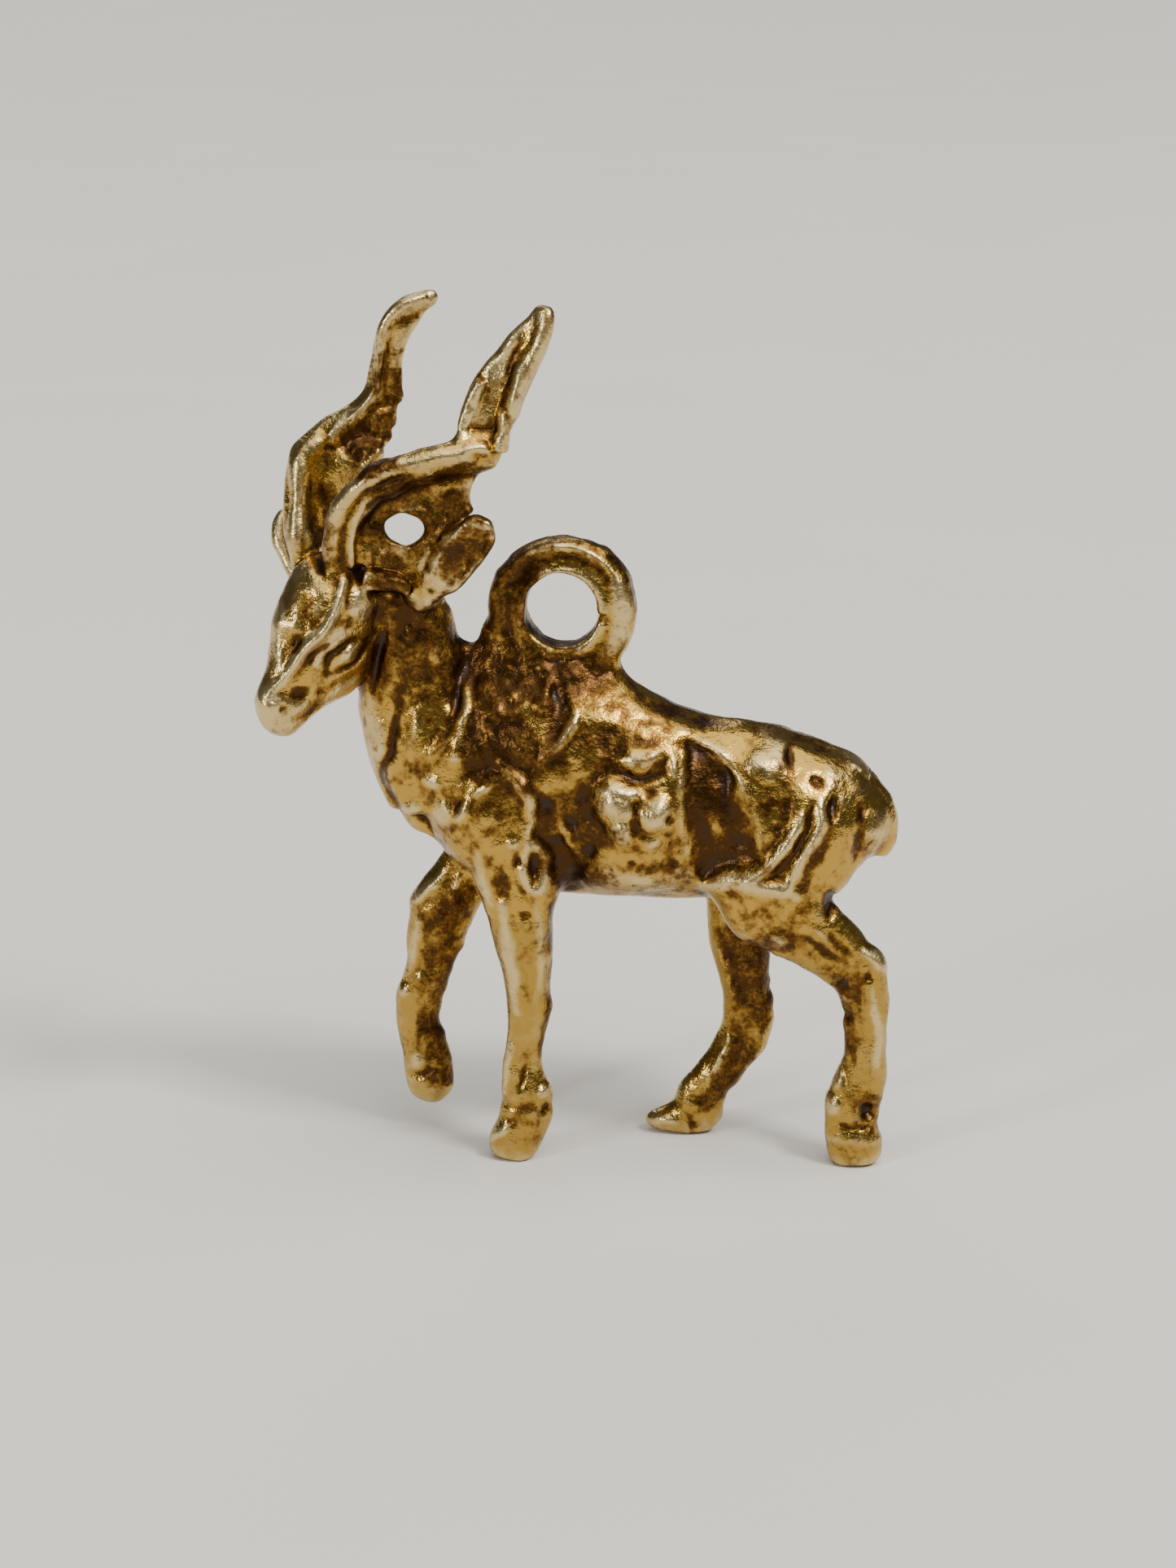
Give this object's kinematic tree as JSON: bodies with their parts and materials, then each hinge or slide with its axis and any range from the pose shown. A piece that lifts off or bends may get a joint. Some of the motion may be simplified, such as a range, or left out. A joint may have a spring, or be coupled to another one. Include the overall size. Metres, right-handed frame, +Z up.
{
  "type": "animal charm pendant",
  "caption": "Small cast gold-coloured charm of a walking spiral-horned antelope, with a fixed hanging ring on its withers.",
  "frame": {"origin": "middle of the bounding box's underside, on the plane that the hoofs stand on", "axes": "+Z up through the horns, the animal faces -X, its left side faces -Y"},
  "size_m": [0.0186, 0.0058, 0.0256],
  "materials": {
    "body_gold": "cast gold alloy, polished on the high parts, brown tarnish in the hollows",
    "head_gold": "cast gold alloy, worn pale on the face",
    "horn_gold": "cast gold alloy, bright ridges and brown grooves",
    "ring_gold": "cast gold alloy, tarnished, with a rubbed rim",
    "leg_gold": "cast gold alloy, polished shafts, brown behind the joints"
  },
  "bodies": {
    "root": {"left_body_half": "body_gold", "right_body_half": "body_gold", "head": "head_gold", "left_horn": "horn_gold", "right_horn": "horn_gold", "left_ear": "head_gold", "right_ear": "head_gold", "hanging_ring": "ring_gold", "left_foreleg": "leg_gold", "right_foreleg": "leg_gold", "left_hindleg": "leg_gold", "right_hindleg": "leg_gold", "tail": "body_gold"}
  },
  "joints": []
}
